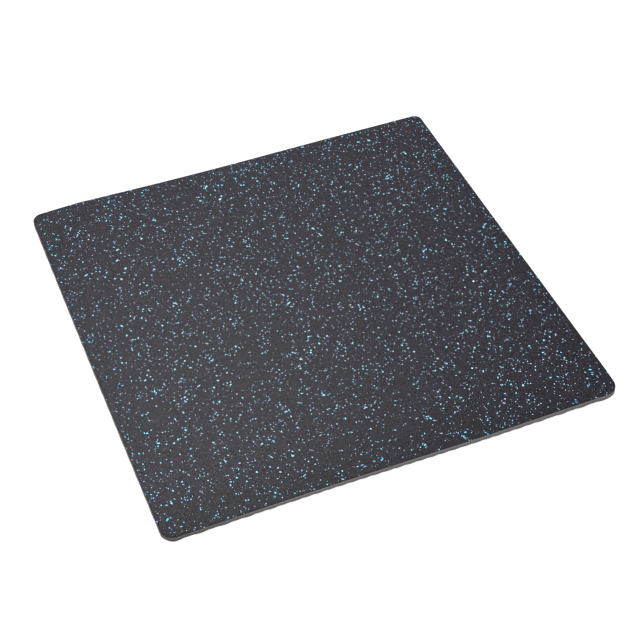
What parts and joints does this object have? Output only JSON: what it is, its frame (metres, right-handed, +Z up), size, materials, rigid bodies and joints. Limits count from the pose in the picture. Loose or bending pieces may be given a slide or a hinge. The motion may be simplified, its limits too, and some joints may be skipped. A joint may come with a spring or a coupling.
{
  "type": "anti-vibration foam pad",
  "caption": "Square flecked foam mat with rounded corners and a nubbed underside, laid under a machine to soak up vibration.",
  "frame": {"origin": "centre of the pad's footprint, on the surface that it lies on", "axes": "+X runs along the near side to the right, +Y from the near side to the far one, and +Z up out of the flecked top"},
  "size_m": [0.6, 0.6, 0.008],
  "materials": {
    "flecked_foam": "matte"
  },
  "bodies": {
    "root": {"pad": "flecked_foam"}
  },
  "joints": []
}
